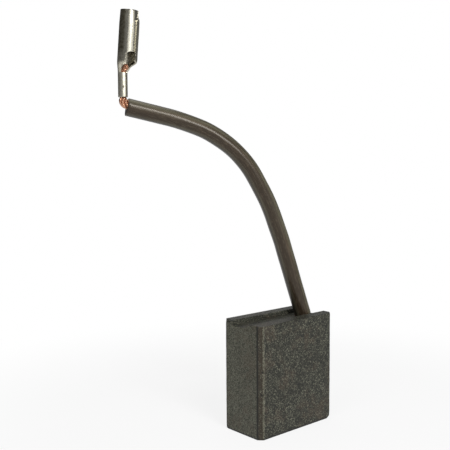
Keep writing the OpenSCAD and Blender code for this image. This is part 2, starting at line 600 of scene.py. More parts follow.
@dataclass(frozen=True)
class TinnedFinish(Finish):
    """Tinned brass sheet, satin, with rolling marks and a little tarnish.

    One side of the socket is painted darker, as tarnish with painted shade, and a painted dark
    reflection rings the mouth.

    Its patterns lie on the flat blank, in millimetres from the spine and the crimp's foot.
    """

    slot: ClassVar[Slot] = Slot.TINNED
    crimp_len: float
    mouth: float
    rolling_per_mm: float = 1.0
    mottle_per_mm: float = 2.2
    tarnish_per_mm: float = 0.7
    nicks_per_mm: float = 1.1
    bright: Colour = (0.80, 0.77, 0.66)
    matt: Colour = (0.64, 0.61, 0.50)
    tarnished: Colour = (0.29, 0.27, 0.20)
    stained: Colour = (0.16, 0.14, 0.10)
    rim: Colour = (0.09, 0.082, 0.065)
    nick: Colour = (0.07, 0.062, 0.048)

    def paint(self, graph: Graph) -> None:
        """Builds the nodes.

        Args:
            graph: The material's tree.
        """
        blank = graph.attribute("blank")
        across, length, _ = graph.parts(blank)
        past_crimp = length - self.crimp_len
        roll = graph.noise(
            graph.stretched(blank, (6.0, 0.5, 1.0)), self.rolling_per_mm, 3.0, 0.6
        )
        mottle = graph.noise(blank, self.mottle_per_mm, 4.0, 0.65)
        tarnish = graph.noise(
            graph.stretched(blank, (1.0, 0.45, 1.0)), self.tarnish_per_mm, 3.0, 0.6
        )
        nick_gap, nick_pick = graph.cells(
            graph.stretched(blank, (1.0, 0.6, 1.0)), self.nicks_per_mm
        )
        nicks = nick_gap.step(0.22, 0.1) * nick_pick.step(0.78, 0.82)
        low = past_crimp.step(3.8, 0.8)
        neck = past_crimp.step(-0.3, 0.3) * past_crimp.step(3.4, 2.4)
        # Tarnish with painted shade: one side of the socket is painted darker and mottled.
        tarnish_and_shade_side = across.step(-1.0, 0.0) * across.step(3.3, 2.7) * past_crimp.step(1.8, 4.3)
        # Painted dark reflection: a dark band round the socket's mouth.
        rim = (length - self.mouth).step(-0.25, -0.07)
        dull_and_shade = (tarnish.step(0.48, 0.7) * 0.5).most(neck * 0.5).most(tarnish_and_shade_side).most(low * 0.3)
        stain = graph.mix(mottle.step(0.42, 0.62), self.tarnished, self.stained)
        colour = graph.layered(
            graph.mix(mottle.step(0.35, 0.7), self.bright, self.matt),
            (dull_and_shade, stain),
            (rim * 0.75, self.rim),
            (nicks * 0.8, self.nick),
        )
        graph.surface(
            Base_Color=colour,
            Metallic=1.0,
            Roughness=0.2 + mottle * 0.1 + dull_and_shade * 0.12 + low * 0.12,
            Normal=graph.bump(roll * 0.5 + mottle * 0.5 - nicks * 0.4, 0.03, 0.5),
        )


# -------------------------------------------------------------- mesh operators


def put(bm: bmesh.types.BMesh, name: str) -> bpy.types.Object:
    """Puts a mesh into the scene, at the origin and unturned.

    Args:
        bm: The mesh, in metres; it is freed.
        name: The name of the new object and its mesh.

    Returns:
        The object.
    """
    piece = bpy.data.objects.new(name, bpy.data.meshes.new(name))
    bm.to_mesh(piece.data)
    bm.free()
    bpy.context.scene.collection.objects.link(piece)
    return piece


def finished(bm: bmesh.types.BMesh, name: str, finish: Finish) -> bpy.types.Object:
    """Turns a mesh into a piece of the brush.

    Args:
        bm: The mesh, in metres; it is freed.
        name: The piece's name.
        finish: What it is made of.

    Returns:
        The new object, riding on the brush.
    """
    piece = put(bm, name)
    piece.data.materials.append(finish.material())
    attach(piece, BODY)
    return piece


def whole(bm: bmesh.types.BMesh) -> list[MeshPart]:
    """Gives all of a mesh's parts, as the cutting tools take them."""
    return [*bm.verts, *bm.edges, *bm.faces]


def only(kind: type[MeshPart], parts: Iterable[MeshPart]) -> list[MeshPart]:
    """Picks the parts of one kind."""
    return [part for part in parts if isinstance(part, kind)]


def shade(bm: bmesh.types.BMesh, sharp_deg: float) -> None:
    """Shades a mesh smooth, apart from its sharp edges.

    Args:
        bm: The mesh.
        sharp_deg: The angle from which an edge is sharp.
    """
    for face in bm.faces:
        face.smooth = True
    for edge in bm.edges:
        edge.smooth = edge.calc_face_angle(0.0) < math.radians(sharp_deg)


def cut_off(bm: bmesh.types.BMesh, point: Vector, outward: Vector) -> None:
    """Saws off what lies past a plane and closes the cut.

    Args:
        bm: The mesh.
        point: A point of the plane.
        outward: The plane's normal, towards the waste.
    """
    cut = bmesh.ops.bisect_plane(
        bm, geom=whole(bm), plane_co=point, plane_no=outward, clear_outer=True
    )
    bmesh.ops.holes_fill(bm, edges=only(bmesh.types.BMEdge, cut["geom_cut"]))


def score(bm: bmesh.types.BMesh, axis: Axis, places: Iterable[float]) -> None:
    """Adds loops square to an axis, without cutting anything off.

    Args:
        bm: The mesh.
        axis: The axis.
        places: Where along it, in metres.
    """
    along = Vector(axis.value)
    for place in places:
        bmesh.ops.bisect_plane(bm, geom=whole(bm), plane_co=along * place, plane_no=along)


def spaced(low: float, high: float, step: float) -> list[float]:
    """Gives even places between two limits.

    Args:
        low: The lower limit.
        high: The upper limit.
        step: The largest gap.

    Returns:
        The places, without the limits.
    """
    count = max(1, math.ceil((high - low) / step))
    return [low + (high - low) * i / count for i in range(1, count)]


def carved(bm: bmesh.types.BMesh, cutter: bmesh.types.BMesh) -> bmesh.types.BMesh:
    """Cuts one solid out of another.

    Args:
        bm: The solid that stays; it is freed.
        cutter: The solid that is taken away; it is freed.

    Returns:
        The carved solid.
    """
    for solid in (bm, cutter):
        bmesh.ops.recalc_face_normals(solid, faces=solid.faces)
    body, tool = put(bm, "stock"), put(cutter, "cutter")
    modifier = body.modifiers.new("carve", "BOOLEAN")
    modifier.operation = "DIFFERENCE"
    modifier.solver = "EXACT"
    modifier.object = tool
    graph = bpy.context.evaluated_depsgraph_get()
    result = bmesh.new()
    result.from_mesh(body.evaluated_get(graph).data)
    for piece in (body, tool):
        mesh = piece.data
        bpy.data.objects.remove(piece)
        bpy.data.meshes.remove(mesh)
    return result


def swept(
    bm: bmesh.types.BMesh,
    loop: list[bmesh.types.BMEdge],
    frames: Sequence[Matrix],
    along: Sequence[float],
) -> list[bmesh.types.BMEdge]:
    """Draws a loop of edges along a line of frames.

    Args:
        bm: The mesh, with the loop at the first frame.
        loop: The loop's edges.
        frames: A frame for each ring.
        along: Each ring's place along the line, in millimetres.

    Returns:
        The last ring's edges.
    """
    straight = bm.verts.layers.float_vector["straight"]
    for i in range(1, len(frames)):
        made = bmesh.ops.extrude_edge_only(bm, edges=loop)["geom"]
        ring = only(bmesh.types.BMVert, made)
        fresh = set(ring)
        loop = [edge for edge in only(bmesh.types.BMEdge, made) if fresh.issuperset(edge.verts)]
        bmesh.ops.transform(bm, matrix=frames[i] @ frames[i - 1].inverted(), verts=ring)
        for vert in ring:
            vert[straight].z = along[i]
    return loop


def first_ring(
    bm: bmesh.types.BMesh, start: Matrix, radius: float, sides: int
) -> list[bmesh.types.BMEdge]:
    """Makes the ring that a sweep starts from.

    Args:
        bm: The mesh.
        start: The sweep's first frame.
        radius: The ring's radius, in metres.
        sides: Its sides.

    Returns:
        The ring's edges.
    """
    straight = bm.verts.layers.float_vector.get("straight")
    if straight is None:
        straight = bm.verts.layers.float_vector.new("straight")
    ring = bmesh.ops.create_circle(bm, segments=sides, radius=radius)["verts"]
    for vert in ring:
        vert[straight] = Vector((vert.co.x / MM, vert.co.y / MM, 0.0))
    edges = list(dict.fromkeys(edge for vert in ring for edge in vert.link_edges))
    bmesh.ops.transform(bm, matrix=start, verts=ring)
    return edges


# ----------------------------------------------------------------------- lead


@dataclass(frozen=True)
class LeadLine:
    """The lead's lie, in one upright plane through the hole in the block.

    A pair is a distance from the hole and a height over the groove, in millimetres. The
    shunt stands in the block, follows the sleeve, rides up inside the sleeve's open end and
    turns up into the crimp.
    """

    hole_x: float = 6.6 * MM
    floor_z: float = 19.3 * MM
    heading_deg: float = 25.0
    sleeve_mm: tuple[Pair, ...] = (
        (0, 0), (0.7, 2.2), (1.45, 4.7), (2.2, 7.2), (2.95, 9.7), (3.75, 12.2),
        (4.5, 14.7), (5.4, 17.2), (6.3, 19.7), (7.35, 22.2), (8.65, 24.7), (10.3, 27.6),
        (12, 29.8), (14, 31.8), (16.3, 33.5), (18.9, 35), (21.7, 36.1),
        (24.6, 37), (27.5, 37.7), (30.5, 38.4), (33.2, 39),
    )
    shunt_foot_mm: tuple[Pair, ...] = ((0, -7.8), (0, -3), (0, 0))
    shunt_rise_mm: tuple[Pair, ...] = ((27.5, 37.8), (30.3, 38.6))
    crimp_mm: Pair = (33.85, 40.7)
    crimp_len: float = 4.2
    bend_r: float = 1.05
    bend_from_deg: float = 14.0
    bend_steps: int = 8
    bend_drop: float = 0.3

    @property
    def heading(self) -> Vector:
        """The plane's level direction, away from the block."""
        turn = math.radians(180.0 - self.heading_deg)
        return Vector((math.cos(turn), math.sin(turn), 0.0))

    def at(self, point: Pair) -> Vector:
        """Places a point of the plane.

        Args:
            point: Distance from the hole and height over the groove, in millimetres.

        Returns:
            The point in the row frame, in metres.
        """
        foot = Vector((self.hole_x, 0.0, self.floor_z))
        return foot + self.heading * (point[0] * MM) + UP * (point[1] * MM)

    def shunt_mm(self) -> list[Pair]:
        """Gives the shunt's line.

        Returns:
            Its points in the plane, from the hole's foot to the crimp's upper end.
        """
        x, z = self.crimp_mm
        left, low = x - self.bend_r, z - self.bend_drop
        bend = []
        for i in range(self.bend_steps + 1):
            angle = self.bend_from_deg + (90.0 - self.bend_from_deg) * i / self.bend_steps
            turn = math.radians(angle)
            bend.append((left + self.bend_r * math.sin(turn), low - self.bend_r * math.cos(turn)))
        inside = [*self.sleeve_mm[1:-3], *self.shunt_rise_mm]
        crimp = [(x, z), (x, z + self.crimp_len / 2), (x, z + self.crimp_len)]
        return [*self.shunt_foot_mm, *inside, *bend, *crimp]

    def smooth(self, points: Sequence[Pair], step: float) -> list[Vector]:
        """Rounds a line of points off.

        Args:
            points: The points, in the plane.
            step: The gap between the new points, in millimetres.

        Returns:
            The new points, in the row frame.
        """
        flat = [Vector(point) for point in points]
        first, last = 2 * flat[0] - flat[1], 2 * flat[-1] - flat[-2]
        padded = [first, *flat, last]
        result = []
        for a, b, c, d in zip(padded, padded[1:], padded[2:], padded[3:]):
            count = max(1, round((c - b).length / step))
            for i in range(count):
                t = i / count
                spot = 0.5 * (
                    2 * b
                    + (c - a) * t
                    + (2 * a - 5 * b + 4 * c - d) * t**2
                    + (3 * b - a - 3 * c + d) * t**3
                )
                result.append(self.at(tuple(spot)))
        return [*result, self.at(tuple(flat[-1]))]

    def frames(self, line: Sequence[Vector]) -> list[Matrix]:
        """Gives a frame at each point, its Z along the line.

        Args:
            line: The points.

        Returns:
            The frames.
        """
        side = UP.cross(self.heading).normalized()
        result = []
        for i, point in enumerate(line):
            ahead = (line[min(i + 1, len(line) - 1)] - line[max(i - 1, 0)]).normalized()
            turn = Matrix((side, ahead.cross(side), ahead)).transposed()
            result.append(Matrix.Translation(point) @ turn.to_4x4())
        return result


def run_of(line: Sequence[Vector]) -> list[float]:
    """Measures along a line.

    Args:
        line: The line's points.

    Returns:
        Each point's distance from the first, in millimetres.
    """
    total = [0.0]
    for a, b in zip(line, line[1:]):
        total.append(total[-1] + (b - a).length / MM)
    return total


@dataclass
class Sleeve:
    """The insulating sleeve, cut square at both ends."""

    lead: LeadLine
    outer: float = 1.56 * MM
    inner: float = 1.25 * MM
    sides: int = 48
    wobble_mm: float = 0.035
    lumps_per_mm: Triple = (0.5, 0.5, 0.22)
    edge: float = 0.05 * MM
    step_mm: float = 0.6
    clear_mm: float = 0.25
    length: float = field(init=False, default=0.0)

    def build(self) -> bpy.types.Object:
        """Builds and dresses the sleeve.

        Returns:
            The piece.
        """
        line = self.lead.smooth(self.lead.sleeve_mm, self.step_mm)
        line[0] = line[0] + (line[1] - line[0]).normalized() * self.clear_mm * MM
        run = run_of(line)
        self.length = run[-1] * MM
        frames = self.lead.frames(line)
        bm = bmesh.new()
        ends = []
        for radius in (self.outer, self.inner):
            start = first_ring(bm, frames[0], radius, self.sides)
            ends.append((start, swept(bm, start, frames, run)))
        (outer_foot, outer_top), (inner_foot, inner_top) = ends
        rims = [outer_foot + inner_foot, outer_top + inner_top]
        for rim in rims:
            bmesh.ops.bridge_loops(bm, edges=rim)
        self._soften(bm)
        bmesh.ops.recalc_face_normals(bm, faces=bm.faces)
        bmesh.ops.bevel(
            bm,
            geom=[edge for rim in rims for edge in rim if edge.is_valid],
            offset=self.edge,
            segments=2,
            profile=0.5,
            affect="EDGES",
            material=-1,
        )
        shade(bm, sharp_deg=50.0)
        return finished(bm, "Sleeve", SleevingFinish())

    def _soften(self, bm: bmesh.types.BMesh) -> None:
        """Makes the wall a little uneven, as cut sleeving is.

        Args:
            bm: The sleeve.
        """
        straight = bm.verts.layers.float_vector["straight"]
        bm.normal_update()
        for vert in bm.verts:
            spot = vert[straight]
            lump = noise.noise(spot * Vector(self.lumps_per_mm))
            away = spot.xy.length / (self.outer / MM)
            vert.co += vert.normal * lump * self.wobble_mm * away * MM


@dataclass
class Shunt:
    """The stranded copper rope, seen at its bend and where its ends leave the crimp."""

    lead: LeadLine
    rope_r: float = 0.78 * MM
    gripped_r: float = 0.45 * MM
    bunches: int = 6
    lay_mm: float = 6.5
    plump: float = 1.22
    sides: int = 12
    step_mm: float = 0.35
    end_mm: float = 8.0
    squeezed_mm: Pair = (-0.5, 0.05)
    stub_mm: float = 1.35
    stub_steps: int = 9
    stub_lean: float = 0.6
    stub_start: float = 0.4
    stub_heading_deg: float = -46.0
    splay: float = 0.12

    def build(self) -> bpy.types.Object:
        """Builds and dresses the rope.

        Returns:
            The piece.
        """
        line = self.lead.smooth(self.lead.shunt_mm(), self.step_mm)
        line += self._stub(line[-1])
        run = run_of(line)
        frames = self.lead.frames(line)
        bm = bmesh.new()
        spare = bpy.data.meshes.new("bunch")
        for number in range(self.bunches + 1):
            bunch = self._bunch(number, frames, run)
            bunch.to_mesh(spare)
            bunch.free()
            bm.from_mesh(spare)
        bpy.data.meshes.remove(spare)
        bmesh.ops.recalc_face_normals(bm, faces=bm.faces)
        shade(bm, sharp_deg=50.0)
        return finished(bm, "Shunt", CopperFinish())

    def _stub(self, foot: Vector) -> list[Vector]:
        """Carries the rope's line out of the crimp, over to the neck's open side.

        Args:
            foot: The line's end, at the crimp's upper end.

        Returns:
            The new points.
        """
        turn = math.radians(self.stub_heading_deg)
        over = Vector((math.cos(turn), math.sin(turn), 0.0)) * self.stub_lean
        points = []
        for i in range(1, self.stub_steps + 1):
            share = i / self.stub_steps
            rise = share * self.stub_mm * MM
            points.append(foot + UP * rise + over * rise * min(1.0, self.stub_start + share))
        return points

    def _across(self, height_mm: float, near_end: bool) -> float:
        """Gives the rope's half width, which the crimp squeezes and its end splays.

        Args:
            height_mm: The height over the crimp's lower end.
            near_end: Whether the place is on the rope's last stretch.

        Returns:
            The half width, in metres.
        """
        if not near_end:
            return self.rope_r
        low, high = self.squeezed_mm
        tight = min(1.0, max(0.0, (height_mm - low) / (high - low)))
        loose = max(0.0, height_mm - self.lead.crimp_len)
        radius = self.rope_r + (self.gripped_r - self.rope_r) * tight
        return radius * (1.0 + self.splay * loose)

    def _bunch(
        self, bunch: int, frames: Sequence[Matrix], run: Sequence[float]
    ) -> bmesh.types.BMesh:
        """Lays one bunch of strands; the last one is the core.

        Six bunches round the core make the rope three bunches wide, each drawn a little
        plumper than a third of it. Their cut ends aren't level.

        Args:
            bunch: The bunch's number.
            frames: The rope's frames.
            run: The distance along the rope at each frame.

        Returns:
            The bunch.
        """
        bm = bmesh.new()
        core = bunch == self.bunches
        crimp_z = self.lead.floor_z + self.lead.crimp_mm[1] * MM
        places = []
        for spot, gone in zip(frames, run):
            near_end = gone > run[-1] - self.end_mm
            bunch_r = self._across((spot.translation.z - crimp_z) / MM, near_end) / 3.0
            turn = math.tau * (bunch / self.bunches + gone / self.lay_mm)
            off = 0.0 if core else 2.0 * bunch_r
            shift = Matrix.Translation((off * math.cos(turn), off * math.sin(turn), 0.0))
            size = bunch_r * (1.0 if core else self.plump)
            places.append(spot @ shift @ Matrix.Scale(size / MM, 4))
        missing = (5 * bunch) % 4
        start = first_ring(bm, places[0], MM, self.sides)
        last = swept(bm, start, places[: len(places) - missing], run)
        for rim in (start, last):
            bmesh.ops.holes_fill(bm, edges=rim)
        return bm


# ------------------------------------------------------------------- terminal


@dataclass
class Terminal:
    """One blank of sheet, closed edge to edge on the shunt and rolled into a socket.

    Sizes are in millimetres, and radii run to the middle of the sheet. A place on the flat
    blank is its distance across from the spine, which lies along the terminal's back, and
    its length. Turns round the section are in radians from the spine.
    """

    lead: LeadLine
    sheet: float = 0.25
    crimp_r: float = 0.715
    crimp_edge: float = 2.19
    crimp_corner: float = 0.12
    neck_round: float = 0.55
    roll_r: float = 1.525
    roll_from: float = 6.05
    roll_lap: float = 4.68
    roll_under: float = 5.65
    roll_ease: float = 0.5
    lap_proud: float = 0.17
    lap_turn: Pair = (1.0, 2.0)
    tuck: float = 0.1
    tuck_turn: Pair = (2.5, 3.5)
    window_top: float = 7.8
    window_edge: float = 3.22
    mouth: float = 14.75
    mouth_from: float = 12.25
    mouth_r: float = 1.42
    mouth_back: float = 0.35
    lap_top: float = 13.2
    lean_deg: float = 6.0
    turn_deg: float = 14.0
    grid_across: float = 0.11
    grid_along: float = 0.242
    edge: float = 0.035

    def blank(self) -> list[Pair]:
        """Gives the flat blank's outline.

        Returns:
            The corners, round the blank.
        """
        c, lap, top = self.lead.crimp_len, self.roll_lap, self.window_top
        edge, off, inner = self.crimp_edge, self.crimp_corner, self.window_edge
        lap_wing = [
            (-edge + off, 0.0), (-edge, off), (-edge, c - off), (-edge + off, c),
            (-1.62, c), (-1.52, c + 0.08), (-1.6, 4.4), (-1.74, 4.7), (-1.85, 5.0),
            (-2.05, 5.3), (-2.45, 5.6), (-3.1, 5.86), (-4.0, 6.02), (-lap + 0.25, 6.1),
            (-lap + 0.06, 6.22), (-lap, 6.4),
            (-lap, self.lap_top - 0.25), (-lap + 0.08, self.lap_top - 0.06),
            (-lap + 0.25, self.lap_top), (-4.0, self.lap_top + 0.05),
            (-3.78, self.lap_top + 0.25), (-3.74, self.mouth),
        ]
        under_wing = [
            (self.roll_under, self.mouth), (self.roll_under, top + 0.4),
            (self.roll_under - 0.15, top + 0.1), (self.roll_under - 0.45, top),
            (inner + 1.05, top), (inner + 0.72, top - 0.05), (inner + 0.42, top - 0.18),
            (inner + 0.18, top - 0.42), (inner + 0.05, top - 0.72), (inner, top - 1.1),
            (inner, 6.3), (inner - 0.05, 6.05), (2.84, 5.85), (2.5, 5.6), (2.2, 5.3),
            (1.92, 5.0), (1.64, 4.65), (1.45, c + 0.2), (1.4, c + 0.08), (1.5, c),
            (edge - off, c), (edge, c - off), (edge, off), (edge - off, 0.0),
        ]
        return lap_wing + under_wing

    def place(self) -> Matrix:
        """Gives the terminal's own frame, its Z up the crimp."""
        origin = self.lead.at(self.lead.crimp_mm)
        return Matrix.Translation(origin) @ Matrix.Rotation(math.radians(self.turn_deg), 4, "Z")

    def build(self) -> bpy.types.Object:
        """Cuts the blank, bends it and dresses it.

        Returns:
            The piece.
        """
        bm = bmesh.new()
        blank = bm.verts.layers.float_vector.new("blank")
        inner = bm.edges.layers.int.new("inner")
        corners = [bm.verts.new((x, y, 0.0)) for x, y in self.blank()]
        rim = [bm.edges.new(pair) for pair in zip(corners, corners[1:] + corners[:1])]
        bmesh.ops.triangle_fill(bm, use_beauty=True, edges=rim)
        # The filling's own edges go again once the blank is scored.
        for edge in bm.edges:
            edge[inner] = 0 if edge.is_boundary else 1
        reach = max(abs(vert.co.x) for vert in bm.verts)
        score(bm, Axis.X, spaced(-reach, reach, self.grid_across))
        score(bm, Axis.Y, spaced(0.0, self.mouth, self.grid_along))
        spare = [edge for edge in bm.edges if edge[inner] and not edge.is_boundary]
        bmesh.ops.dissolve_edges(bm, edges=spare, use_verts=True)
        for vert in bm.verts:
            vert[blank] = vert.co.copy()
            vert.co = self.bent(vert.co.x, vert.co.y)
        bmesh.ops.scale(bm, vec=(MM, MM, MM), verts=bm.verts)
        bmesh.ops.recalc_face_normals(bm, faces=bm.faces)
        bmesh.ops.transform(bm, matrix=self.place(), verts=bm.verts)
        shade(bm, sharp_deg=60.0)
        finish = TinnedFinish(self.lead.crimp_len, self.mouth)
        piece = finished(bm, "Terminal", finish)
        wall = piece.modifiers.new("sheet", "SOLIDIFY")
        wall.thickness = self.sheet * MM
        wall.offset = 0.0
        wall.use_even_offset = True
        worn = piece.modifiers.new("edges", "BEVEL")
        worn.width = self.edge * MM
        worn.segments = 2
        worn.limit_method = "ANGLE"
        worn.angle_limit = math.radians(50.0)
        return piece

    def bent(self, across: float, length: float) -> Vector:
        """Bends one point of the blank.

        Args:
            across: Its place across the blank, from the spine.
            length: Its place along the blank.

        Returns:
            The point in the terminal's own frame, in millimetres.
        """
        flat = self._rolled(abs(across), length, across < 0.0)
        x, y = (flat.x if across < 0.0 else -flat.x), flat.y
        over = length - self.lead.crimp_len
        if over <= 0.0:
            return Vector((x, y, length))
        lean = math.radians(self.lean_deg)
        return Vector(
            (
                x,
                y * math.cos(lean) - over * math.sin(lean),
                self.lead.crimp_len + y * math.sin(lean) + over * math.cos(lean),
            )
        )

    def _rolled(self, gone: float, length: float, is_lap: bool) -> Vector:
        """Follows the section from its spine.

        Args:
            gone: The distance along the sheet.
            length: The place along the blank.
            is_lap: Whether this wing is the lap, and not the one that goes under it.

        Returns:
            The distance from the middle plane, and the height.
        """
        radius = self.crimp_r + (self.roll_r - self.crimp_r) * self._swell(length)
        turn = gone / radius
        start = self.roll_from
        rolled = self._ease(length, start - self.roll_ease, start + self.roll_ease)
        if is_lap:
            below_top = 1.0 - self._ease(length, self.lap_top - 0.05, self.lap_top + 0.3)
            change = self._ease(turn, *self.lap_turn) * self.lap_proud * rolled * below_top
        else:
            change = -self._ease(turn, *self.tuck_turn) * self.tuck * rolled
        drawn = (self.roll_r - self.mouth_r) * self._ease(
            length, self.mouth_from, self.mouth + 0.2
        )
        reach = radius + change - drawn
        middle = self.crimp_r - radius + self.mouth_back * drawn
        return Vector((reach * math.sin(turn), middle + reach * math.cos(turn)))

    def _swell(self, length: float) -> float:
        """Gives how far the neck has widened from crimp to socket.

        Args:
            length: The place along the blank.

        Returns:
            The share, from 0 to 1.
        """
        share = (length - self.lead.crimp_len) / (self.roll_from - self.lead.crimp_len)
        even = min(1.0, max(0.0, share))
        smooth = self._ease(length, self.lead.crimp_len, self.roll_from)
        return smooth * self.neck_round + even * (1.0 - self.neck_round)

    @staticmethod
    def _ease(value: float, low: float, high: float) -> float:
        """Rises smoothly from 0 to 1 between two limits."""
        share = min(1.0, max(0.0, (value - low) / (high - low)))
        return share * share * (3.0 - 2.0 * share)


# --------------------------------------------------------------- carbon block


@dataclass(frozen=True)
class Worn:
    """A corner that has been knocked round: where, how far about, and which way."""

    middle: Vector
    reach_mm: Triple
    push_mm: Triple

    def moved(self, place: Vector) -> Vector:
        """Gives how far a point has moved.

        Args:
            place: The point.

        Returns:
            Its shift, which fades to nothing at the reach.
        """
        away = place - self.middle
        gap = Vector([far / (reach * MM) for far, reach in zip(away, self.reach_mm)]).length
        if gap >= 1.0:
            return Vector((0.0, 0.0, 0.0))
        return Vector(self.push_mm) * MM * (1.0 - gap) ** 2 * (1.0 + 2.0 * gap)


@dataclass
class CarbonBlock:
    """The pressed block, with its groove, its hole and its worn edges."""

    lead: LeadLine
    width: float = 19.0 * MM
    thickness: float = 9.8 * MM
    height: float = 20.2 * MM
    chamfer: float = 0.8 * MM
    groove_r: float = 7.5 * MM
    groove_y: float = 1.0 * MM
    rail_y: float = 2.5 * MM
    rail_lean: float = 0.15 * MM
    bevel_run: float = 1.6 * MM
    bevel_rise: float = 0.9 * MM
    hole_r: float = 1.75 * MM
    hole_deep: float = 9.06 * MM
    hole_over: float = 3.0 * MM
    edge: float = 0.16 * MM
    edge_from_deg: float = 15.0
    flat_deg: float = 0.2
    weld: float = 0.001 * MM
    wear: float = 0.28 * MM
    dents_per_mm: float = 1.1
    chips_per_mm: float = 3.0
    grid: float = 0.45 * MM

    def build(self) -> bpy.types.Object:
        """Builds and dresses the block.

        Returns:
            The piece.
        """
        bm = carved(self._blank(), self._groove())
        self._break_edges(bm)
        self._score(bm)
        self._wear(bm)
        bm = carved(bm, self._hole())
        bmesh.ops.remove_doubles(bm, verts=bm.verts, dist=self.weld)
        shade(bm, sharp_deg=40.0)
        finish = CarbonFinish(self.width / 2 / MM, self.thickness / 2 / MM, self.chamfer / MM)
        piece = finished(bm, "Block", finish)
        flat = piece.modifiers.new("flats", "WEIGHTED_NORMAL")
        flat.keep_sharp = True
        flat.weight = 100
        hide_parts("carbon_block")
        return piece

    def _blank(self) -> bmesh.types.BMesh:
        """Presses the plain block, with its chamfers and the bevel on its foot.

        Returns:
            The solid.
        """
        bm = bmesh.new()
        bmesh.ops.create_cube(bm, size=1.0)
        size = Vector((self.width, self.thickness, self.height))
        bmesh.ops.scale(bm, vec=size, verts=bm.verts)
        bmesh.ops.translate(bm, vec=UP * self.height / 2, verts=bm.verts)
        for side in (-1.0, 1.0):
            for end in (-1.0, 1.0):
                flank = side * (self.thickness / 2 - self.chamfer)
                corner = Vector((end * self.width / 2, flank, 0.0))
                cut_off(bm, corner, Vector((end, side, 0.0)).normalized())
        start = Vector((self.width / 2 - self.bevel_run, 0.0, 0.0))
        outward = Vector((self.bevel_rise, 0.0, -self.bevel_run)).normalized()
        cut_off(bm, start, outward)
        return bm

    def _groove(self) -> bmesh.types.BMesh:
        """Makes the cutter for the spring groove: a long roller, flat on its rail side.

        Returns:
            The solid.
        """
        bm = bmesh.new()
        bmesh.ops.create_circle(bm, cap_ends=True, segments=180, radius=self.groove_r)
        turn = Matrix.Rotation(math.radians(90.0), 4, "Y")
        middle = Vector((-self.width, self.groove_y, self.lead.floor_z + self.groove_r))
        bmesh.ops.transform(bm, matrix=Matrix.Translation(middle) @ turn, verts=bm.verts)
        rise = self.height - self.lead.floor_z
        bmesh.ops.bisect_plane(
            bm,
            geom=whole(bm),
            plane_co=Vector((0.0, self.rail_y, self.lead.floor_z)),
            plane_no=Vector((0.0, rise, -self.rail_lean)).normalized(),
            clear_outer=True,
        )
        made = bmesh.ops.extrude_face_region(bm, geom=bm.faces[:])["geom"]
        far_end = only(bmesh.types.BMVert, made)
        bmesh.ops.translate(bm, vec=(2.0 * self.width, 0.0, 0.0), verts=far_end)
        return bm

    def _hole(self) -> bmesh.types.BMesh:
        """Makes the cutter for the shunt's hole.

        Returns:
            The solid.
        """
        bm = bmesh.new()
        deep = self.hole_deep + self.hole_over
        bmesh.ops.create_cone(
            bm,
            cap_ends=True,
            segments=96,
            radius1=self.hole_r,
            radius2=self.hole_r,
            depth=deep,
        )
        middle = Vector((self.lead.hole_x, 0.0, self.lead.floor_z + self.hole_over - deep / 2))
        bmesh.ops.translate(bm, vec=middle, verts=bm.verts)
        return bm

    def _break_edges(self, bm: bmesh.types.BMesh) -> None:
        """Takes the sharpness off every edge.

        Args:
            bm: The block.
        """
        flat, corner = math.radians(self.flat_deg), math.radians(self.edge_from_deg)
        bmesh.ops.dissolve_limit(bm, angle_limit=flat, verts=bm.verts, edges=bm.edges)
        sharp = [edge for edge in bm.edges if edge.calc_face_angle(0.0) > corner]
        bmesh.ops.bevel(
            bm,
            geom=sharp,
            offset=self.edge,
            segments=3,
            profile=0.5,
            affect="EDGES",
            clamp_overlap=True,
            material=-1,
        )

    def _score(self, bm: bmesh.types.BMesh) -> None:
        """Adds the loops that the wear needs.

        Args:
            bm: The block.
        """
        half_w, half_t = self.width / 2, self.thickness / 2
        for axis, low, high in (
            (Axis.X, -half_w, half_w),
            (Axis.Y, -half_t, half_t),
            (Axis.Z, 0.0, self.height),
        ):
            score(bm, axis, spaced(low, high, self.grid))

    def _wear(self, bm: bmesh.types.BMesh) -> None:
        """Knocks edges and corners round, unevenly.

        Args:
            bm: The block.
        """
        bm.normal_update()
        half_w, half_t = self.width / 2, self.thickness / 2
        rail_end = Vector((-half_w, half_t - 1.2 * MM, self.height))
        back_foot = Vector((-half_w, half_t, 0.0))
        bevel_end = Vector((half_w, -half_t, 0.6 * MM))
        spots = (
            Worn(rail_end, (0.9, 1.6, 0.7), (0.12, 0.0, -0.22)),
            Worn(back_foot, (1.2, 1.4, 0.9), (0.14, -0.1, 0.18)),
            Worn(bevel_end, (1.2, 1.5, 1.2), (-0.15, 0.1, 0.12)),
        )
        for vert in bm.verts:
            normal = vert.normal
            off = 1.0 - max(abs(normal.x), abs(normal.y), abs(normal.z))
            spot_mm = vert.co / MM
            dents = noise.noise(spot_mm * self.dents_per_mm)
            chips = noise.noise(spot_mm * self.chips_per_mm)
            vert.co -= normal * off * max(0.0, dents + 0.6 * chips + 0.35) * self.wear
            for spot in spots:
                vert.co += spot.moved(vert.co)


def dress_plug() -> None:
    """Gives the tamped plug, which the CAD makes, its finish."""
    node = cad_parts["tamped_plug"]
    node.data.materials.clear()
    node.data.materials.append(PowderFinish().material())


# --------------------------------------------------------------------- studio


@dataclass(frozen=True)
class Lamp:
    """A soft box: where it stands, what it looks at, its size and its power."""

    name: str
    place_mm: Triple
    size_mm: Pair
    power: float
    aim_mm: Triple = (0.0, 0.0, 35.0)

    def build(self) -> None:
        """Hangs the lamp."""
        data = bpy.data.lights.new(self.name, "AREA")
        data.shape = "RECTANGLE"
        data.size, data.size_y = (side * MM for side in self.size_mm)
        data.energy = self.power
        lamp = bpy.data.objects.new(self.name, data)
        bpy.context.scene.collection.objects.link(lamp)
        lamp.location = Vector(self.place_mm) * MM
        look = (Vector(self.aim_mm) - Vector(self.place_mm)).normalized()
        lamp.rotation_mode = "QUATERNION"
        lamp.rotation_quaternion = look.to_track_quat("-Z", "Y")


